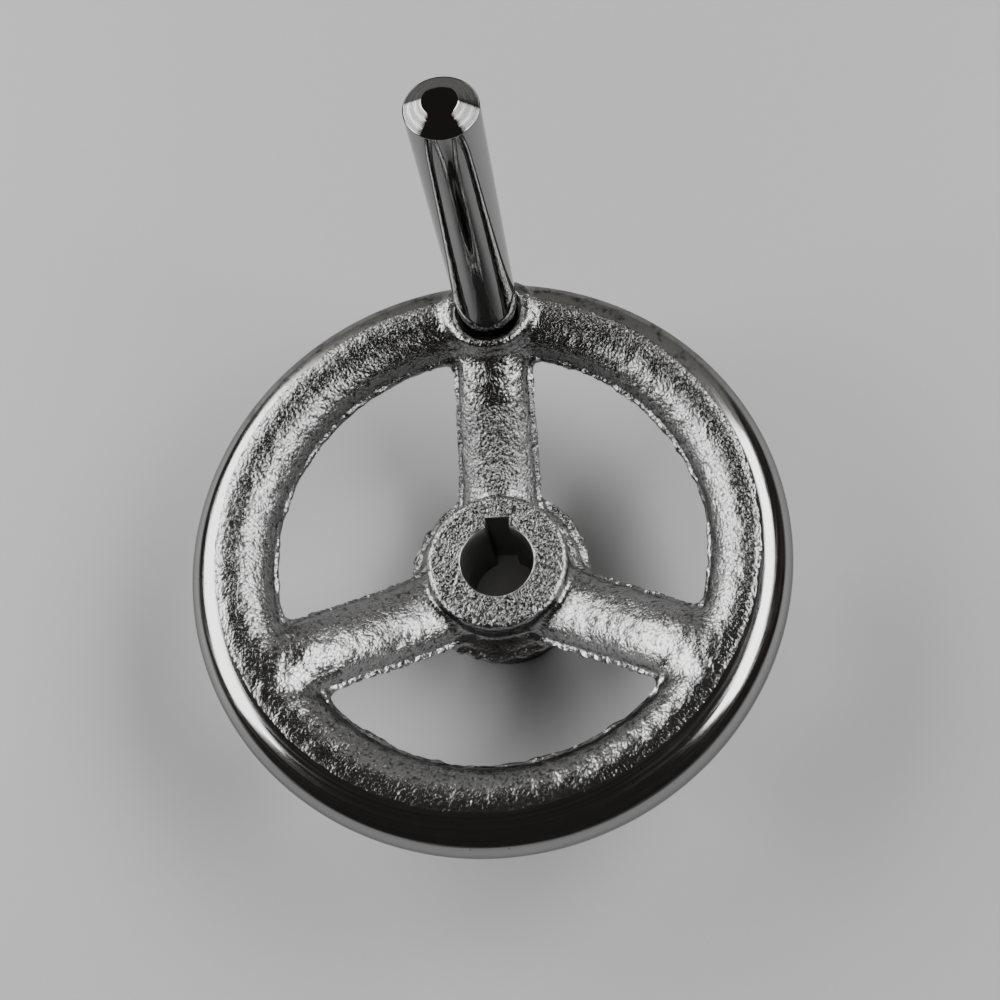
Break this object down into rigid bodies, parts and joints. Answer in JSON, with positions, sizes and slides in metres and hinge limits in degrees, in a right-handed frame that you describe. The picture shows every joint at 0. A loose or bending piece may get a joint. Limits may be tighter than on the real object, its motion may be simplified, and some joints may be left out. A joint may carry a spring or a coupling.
{
  "type": "spoked handwheel with crank handle",
  "caption": "Dished cast handwheel with oval spokes, a keyed hub bore and an upright cylindrical crank handle that turns on its own spindle, bright chrome plated.",
  "frame": {"origin": "on the axis of the hub bore, in the plane of the rear hub face, the lowest face of the part", "axes": "+Z along the bore towards the handle side, +Y from the bore to the handle and the keyway, +X to the right seen from the handle side with the handle at the top"},
  "size_m": [0.095, 0.095, 0.0817],
  "materials": {
    "plated_casting": "chrome plate over a coarse sand-cast skin, with the outside of the rim ground smooth before plating",
    "bright_chrome": "mirror-bright chrome plate over turned steel, with fine turning rings on the end cone",
    "turned_steel": "bare turned steel, lightly oiled",
    "spring_steel": "dark tempered spring steel",
    "zinc_fastener": "thin bright zinc plate"
  },
  "bodies": {
    "wheel": {"wheel_casting": "plated_casting", "handle_spindle": "turned_steel", "thrust_washer": "turned_steel", "retaining_ring": "spring_steel", "lock_washer": "zinc_fastener", "lock_nut": "zinc_fastener"},
    "grip": {"handle_grip": "bright_chrome"}
  },
  "joints": [
    {"name": "grip_spin", "type": "hinge", "parent": "wheel", "child": "grip", "pos_m": [0, 0.04, 0.03055], "axis": [0, 0, 1], "continuous": true}
  ]
}
